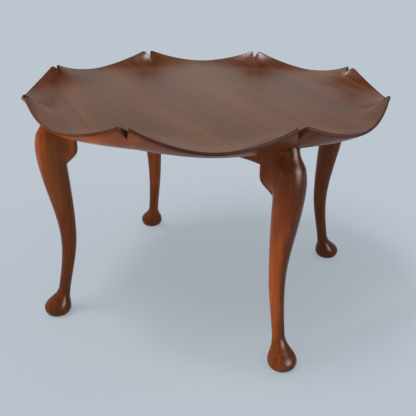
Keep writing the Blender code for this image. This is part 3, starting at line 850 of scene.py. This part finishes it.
def make_corner_blocks(wood, steel):
    pattern = make_corner_block()
    screw = make_screw(CORNER_SCREW_LENGTH)
    for along, side_y in (("front", -1), ("back", 1)):
        for across, side_x in (("left", -1), ("right", 1)):
            corner = f"{along}_{across}"
            mirror = Matrix.Diagonal((side_x, side_y, 1, 1))
            place = Matrix.Translation((side_x * POST_X, side_y * POST_Y, 0)) @ mirror
            piece = copy_of(pattern, f"glue_block_{corner}")
            put(piece, place)
            face_outwards(piece)
            finish_piece(piece, wood, "secondary_wood", f"corner_block_{corner}")
            for letter, (start, direction) in corner_screw_places().items():
                fixing = copy_of(screw, f"slotted_screw_{corner}_{letter}")
                put(fixing, pointing(place @ start, place.to_3x3() @ direction))
                finish_piece(fixing, steel, "screw_steel", f"corner_screw_{corner}_{letter}")
    remove(pattern)
    remove(screw)


# Buttons, modelled in the frame of a rail

def button_screw_place():
    across = RAIL_THICKNESS / 2 + SEAT_GAP + BUTTON_WIDTH / 2
    return Matrix.Translation((0, across, FRAME_TOP - BUTTON_HEIGHT))


def make_button():
    """A block under the top with a tongue that reaches into the rail's slot."""
    face = RAIL_THICKNESS / 2 + SEAT_GAP
    half = BUTTON_LENGTH / 2
    tip = RAIL_THICKNESS / 2 - BUTTON_TONGUE_DEPTH
    low = FRAME_TOP - BUTTON_HEIGHT
    button = block("button", (-half, face, low), (half, face + BUTTON_WIDTH, FRAME_TOP))
    tongue_low = (-half, tip, BUTTON_TONGUE_TOP - BUTTON_TONGUE_HEIGHT)
    tongue_high = (half, face + BUTTON_TONGUE_DEPTH, BUTTON_TONGUE_TOP)
    work(button, "UNION", block("tongue", tongue_low, tongue_high))
    ease_edges(button, BLOCK_EASING)
    hole = make_screw_hole(BUTTON_SCREW_LENGTH)
    put(hole, button_screw_place())
    work(button, "DIFFERENCE", hole)
    smooth_by_angle(button, SQUARED_FOLD)
    return button


def make_buttons(wood, steel):
    pattern = make_button()
    screw = make_screw(BUTTON_SCREW_LENGTH)
    for turn, name in enumerate(RAIL_NAMES):
        for letter, along in button_places(turn).items():
            place = rail_place(turn) @ Matrix.Translation((along, 0, 0))
            button = copy_of(pattern, f"turn_button_{name}_{letter}")
            put(button, place)
            finish_piece(button, wood, "secondary_wood", f"top_button_{name}_{letter}")
            fixing = copy_of(screw, f"slotted_screw_{name}_{letter}")
            put(fixing, place @ button_screw_place())
            finish_piece(fixing, steel, "screw_steel", f"button_screw_{name}_{letter}")
    remove(pattern)
    remove(screw)


# Finishes

class Signal:
    """A socket of some nodes. Arithmetic on it adds Math nodes."""

    def __init__(self, nodes, socket):
        self.nodes = nodes
        self.socket = socket

    def math(self, operation, first, second):
        return self.nodes.node("ShaderNodeMath", {"operation": operation}, {0: first, 1: second})

    def __add__(self, other):
        return self.math("ADD", self, other)

    def __radd__(self, other):
        return self.math("ADD", other, self)

    def __sub__(self, other):
        return self.math("SUBTRACT", self, other)

    def __mul__(self, other):
        return self.math("MULTIPLY", self, other)


class Nodes:
    """The nodes of a finish or of the world."""

    def __init__(self, owner):
        owner.use_nodes = True
        self.tree = owner.node_tree

    def node(self, kind, settings, sockets, output=0):
        """Adds a node: its settings first, then the values or links of its sockets."""
        made = self.tree.nodes.new(kind)
        for key, value in settings.items():
            if key == "stops":
                self.set_stops(made.color_ramp, value)
            else:
                setattr(made, key, value)
        self.feed(made, sockets)
        return Signal(self, made.outputs[output])

    def set_stops(self, ramp, stops):
        while len(ramp.elements) < len(stops):
            ramp.elements.new(1.0)
        for element, (position, colour) in zip(ramp.elements, stops):
            element.position = position
            element.color = (*colour, 1.0)

    def feed(self, node, sockets):
        for key, value in sockets.items():
            if isinstance(value, Signal):
                self.tree.links.new(value.socket, node.inputs[key])
            else:
                node.inputs[key].default_value = value

    def ramp(self, factor, *stops):
        return self.node("ShaderNodeValToRGB", {"stops": stops}, {"Fac": factor})

    def mix(self, share, first, second):
        return self.node("ShaderNodeMix", {"data_type": "RGBA"}, {0: share, 6: first, 7: second}, output=2)

    def noise(self, place, stretch, detail=2.0, roughness=0.5):
        """Noise with so many features to the metre along each axis."""
        stretched = self.node("ShaderNodeMapping", {}, {"Vector": place, "Scale": stretch})
        sockets = {"Vector": stretched, "Scale": 1.0, "Detail": detail, "Roughness": roughness}
        return self.node("ShaderNodeTexNoise", {}, sockets)


def new_finish(name):
    """A material with its nodes and its main shader."""
    material = bpy.data.materials.new(name)
    nodes = Nodes(material)
    return material, nodes, nodes.tree.nodes["Principled BSDF"]


def object_space(nodes):
    """Places on a piece."""
    return nodes.node("ShaderNodeTexCoord", {}, {}, output=3)


def grain_space(nodes, turn):
    """Places on a piece, turned so that the grain runs along X."""
    sockets = {"Vector": object_space(nodes), "Rotation": turn}
    return nodes.node("ShaderNodeMapping", {"vector_type": "TEXTURE"}, sockets)


def mark(nodes, name):
    """How far a place carries the mark that was made when its piece was carved, from 0 to 1."""
    return nodes.node("ShaderNodeAttribute", {"attribute_name": name}, {}, output=2)


def polished_mahogany(name, turn, softness, painted_light_lift=0.0):
    """Red-brown mahogany under polish that is thickest on the upper side. The turn lays the grain."""
    material, nodes, shader = new_finish(name)
    place = grain_space(nodes, turn)
    broad = nodes.noise(place, (1.6, 11.0, 11.0))
    streak = nodes.noise(place, (2.5, 70.0, 70.0), 2.0, 0.55)
    fine = nodes.noise(place, (9.0, 330.0, 330.0))
    pores = nodes.noise(place, (45.0, 1500.0, 1500.0), 1.0)
    pore = nodes.ramp(pores, (0.30, (1, 1, 1)), (0.42, (0, 0, 0)))
    # Painted light: the lift lightens the wood, standing in for more light falling on the piece
    tone = broad * 0.48 + streak * 0.44 + fine * 0.08 + painted_light_lift
    colour = nodes.ramp(tone, *MAHOGANY_TONES)
    colour = nodes.mix(pore * 0.07, colour, PORE_COLOUR)
    # Painted shade: the lip of the rim is darkened towards a near-black red-brown
    edge = mark(nodes, "edge")
    colour = nodes.mix(edge * 0.65, colour, LIP_PAINTED_SHADE_COLOUR)
    # Painted contact shadow: the wood darkens within a little over a centimetre of the floor
    above_floor = nodes.node("ShaderNodeSeparateXYZ", {}, {0: object_space(nodes)}, output=2)
    sole_shadow = nodes.ramp(above_floor, (0.0, (1, 1, 1)), (SOLE_PAINTED_SHADOW_HEIGHT, (0, 0, 0)))
    colour = nodes.mix(sole_shadow * 0.8, colour, SOLE_PAINTED_SHADOW_COLOUR)
    height = fine * 0.2 - pore * 0.2
    bump = nodes.node("ShaderNodeBump", {}, {"Strength": 0.08, "Distance": 0.0003, "Height": height})
    roughness = softness + streak * 0.10 + pore * 0.05 + edge * 0.25
    polish = mark(nodes, "upper_side") * 0.2
    nodes.feed(shader, {"Base Color": colour, "Roughness": roughness, "Normal": bump})
    nodes.feed(shader, {"Specular IOR Level": 0.16})
    nodes.feed(shader, {"Coat Weight": polish, "Coat Roughness": softness + 0.05})
    return material


def planed_beech(name):
    """Bare pale beech with its fine grain and short brown flecks."""
    material, nodes, shader = new_finish(name)
    place = grain_space(nodes, (0, 0, GRAIN_ANGLE))
    grain = nodes.noise(place, (6.0, 120.0, 120.0), 3.0, 0.6)
    flecks = nodes.noise(place, (160.0, 1400.0, 1400.0), 1.0)
    fleck = nodes.ramp(flecks, (0.60, (0, 0, 0)), (0.70, (1, 1, 1)))
    colour = nodes.ramp(grain, *BEECH_TONES)
    colour = nodes.mix(fleck * 0.5, colour, FLECK_COLOUR)
    height = grain - fleck * 0.5
    bump = nodes.node("ShaderNodeBump", {}, {"Strength": 0.15, "Distance": 0.0003, "Height": height})
    nodes.feed(shader, {"Base Color": colour, "Roughness": 0.52 + grain * 0.2, "Normal": bump})
    return material


def dulled_steel(name):
    """Plain steel, a little dulled and stained by age."""
    material, nodes, shader = new_finish(name)
    place = grain_space(nodes, (0, 0, 0))
    stain = nodes.noise(place, (420.0, 420.0, 420.0), 4.0, 0.6)
    scratch = nodes.noise(place, (900.0, 6000.0, 6000.0), 2.0)
    colour = nodes.ramp(stain, *STEEL_TONES)
    roughness = 0.26 + scratch * 0.14 + stain * 0.12
    nodes.feed(shader, {"Base Color": colour, "Roughness": roughness, "Metallic": 1.0})
    return material


# Stage, light and camera

def make_stage():
    start_modelling()
    bpy.ops.mesh.primitive_plane_add(size=FLOOR_SIZE, location=(0, 0, 0))
    floor = named("floor")
    material, nodes, shader = new_finish("pale_floor")
    nodes.feed(shader, {"Base Color": FLOOR_COLOUR, "Roughness": 1.0, "Specular IOR Level": 0.0})
    nodes.feed(shader, {"Emission Color": FLOOR_GLOW, "Emission Strength": 1.0})
    floor.data.materials.append(material)


def make_world():
    """A studio lit softly from above. Its pale wall, brightest behind the table, is dark overhead."""
    world = bpy.data.worlds.new("studio")
    bpy.context.scene.world = world
    nodes = Nodes(world)
    background = nodes.tree.nodes["Background"]
    place = nodes.node("ShaderNodeTexCoord", {}, {})
    height = nodes.node("ShaderNodeSeparateXYZ", {}, {0: place}, output=2)
    side = nodes.node("ShaderNodeSeparateXYZ", {}, {0: place}, output=0) * 0.5 + 0.5
    wall = nodes.ramp(side, *WALL_TONES)
    overhead = nodes.ramp(height, (0.50, (0, 0, 0)), (0.72, (1, 1, 1)))
    wall = nodes.mix(overhead, wall, CEILING_COLOUR)
    light = nodes.ramp(height, *DOME_TONES)
    camera_ray = nodes.node("ShaderNodeLightPath", {}, {})
    glossy_ray = nodes.node("ShaderNodeLightPath", {}, {}, output=3)
    transmission_ray = nodes.node("ShaderNodeLightPath", {}, {}, output=6)
    seen = camera_ray + glossy_ray + transmission_ray
    nodes.feed(background, {"Color": nodes.mix(seen, light, wall)})


def aim_lamp(name, lamp, towards):
    """Puts a lamp in the scene, turned to shine from a direction."""
    holder = bpy.data.objects.new(name, lamp)
    bpy.context.scene.collection.objects.link(holder)
    holder.rotation_euler = Vector(towards).to_track_quat("Z", "Y").to_euler()
    return holder


def add_far_panel(name, towards, strength, spread, colour, shines=True):
    """A panel far off that fills an angle. It shines and is mirrored, or is only mirrored."""
    lamp = bpy.data.lights.new(name, "SUN")
    lamp.energy = strength
    lamp.angle = math.radians(spread)
    lamp.color = colour
    holder = aim_lamp(name, lamp, towards)
    holder.visible_diffuse = shines


def add_near_panel(name, place, aim, power, size, spread, colour, shines=True):
    """A panel with a grid, so that its light keeps to an angle. It either shines or is mirrored."""
    lamp = bpy.data.lights.new(name, "AREA")
    lamp.energy = power
    lamp.size = size
    lamp.spread = math.radians(spread)
    lamp.color = colour
    holder = aim_lamp(name, lamp, Vector(place) - Vector(aim))
    holder.location = place
    holder.visible_diffuse = shines
    holder.visible_glossy = not shines


def make_lamps():
    """Two far panels light the table. The others bring out the polish, a leg or the outside of the rim."""
    add_far_panel("panel_overhead", (-0.30, -0.15, 0.94), strength=0.6, spread=12, colour=(1.0, 0.97, 0.95))
    add_far_panel("panel_front", (-0.22, -0.42, 0.88), strength=0.45, spread=20, colour=(1.0, 0.97, 0.93))
    rosy = (1.0, 0.95, 0.94)
    add_far_panel("panel_above", (0.12, 0.08, 0.989), strength=1.6, spread=10, colour=rosy, shines=False)
    add_far_panel("panel_back", (-0.70, 0.33, 0.63), strength=2.6, spread=16, colour=rosy, shines=False)
    add_near_panel(
        "panel_left",
        place=(-0.70, -0.58, 0.45),
        aim=(-0.25, -0.27, 0.44),
        power=0.16,
        size=0.15,
        spread=46,
        colour=(1.0, 0.66, 0.12),
    )
    add_near_panel(
        "panel_shin",
        place=(-0.79, -1.51, 0.28),
        aim=(0.24, -0.28, 0.20),
        power=0.43,
        size=0.2,
        spread=14,
        colour=(1.0, 0.95, 0.88),
    )
    add_near_panel(
        "panel_rim",
        place=(-0.75, -1.05, 0.10),
        aim=(-0.11, -0.34, 0.49),
        power=0.26,
        size=0.2,
        spread=17,
        colour=(1.0, 0.98, 0.98),
    )
    add_near_panel(
        "panel_far_leg",
        place=(0.60, -1.50, 0.25),
        aim=(-0.23, 0.22, 0.23),
        power=0.2,
        size=0.3,
        spread=14,
        colour=(1.0, 0.95, 0.88),
    )
    add_near_panel(
        "panel_right",
        place=(1.35, -0.62, 0.71),
        aim=(0.27, -0.27, 0.40),
        power=11.0,
        size=0.9,
        spread=90,
        colour=(1.0, 0.98, 0.96),
        shines=False,
    )


def make_camera():
    camera = bpy.data.cameras.new("camera")
    camera.lens = CAMERA_LENS
    camera.sensor_width = CAMERA_SENSOR
    holder = bpy.data.objects.new("camera", camera)
    bpy.context.scene.collection.objects.link(holder)
    turn = (CAMERA_AIM - CAMERA_PLACE).to_track_quat("-Z", "Y").to_matrix().to_4x4()
    roll = Matrix.Rotation(CAMERA_ROLL, 4, "Z")
    holder.matrix_world = Matrix.Translation(CAMERA_PLACE) @ turn @ roll
    bpy.context.scene.camera = holder


def dress_solids(finishes):
    """Gives each solid that stays in view the finish of its material slot."""
    for part in frame["record"]["subparts"]:
        solid = frame["nodes"][part["node"]]
        solid.data.materials.clear()
        solid.data.materials.append(finishes[part["material_slot"]])


TOP_FINISH = polished_mahogany("mahogany_top", (0, 0, GRAIN_ANGLE), softness=0.24)
# Painted light: the legs' wood is made lighter than the top's and the rails' to stand in for the stronger
# light on them
LEG_FINISH = polished_mahogany("mahogany_legs", (0, QUARTER_TURN, 0), softness=0.22, painted_light_lift=0.035)
RAIL_FINISHES = (
    polished_mahogany("mahogany_long_rails", (0, 0, 0), softness=0.24),
    polished_mahogany("mahogany_short_rails", (0, 0, QUARTER_TURN), softness=0.24),
)
BEECH = planed_beech("beech")
STEEL = dulled_steel("screw_steel")

dress_solids({"mahogany": LEG_FINISH, "secondary_wood": BEECH, "screw_steel": STEEL})
make_top(TOP_FINISH)
make_legs(LEG_FINISH)
make_rails(RAIL_FINISHES)
make_corner_blocks(BEECH, STEEL)
make_buttons(BEECH, STEEL)
make_stage()
make_world()
make_lamps()
make_camera()
bpy.context.scene.view_settings.view_transform = "Standard"
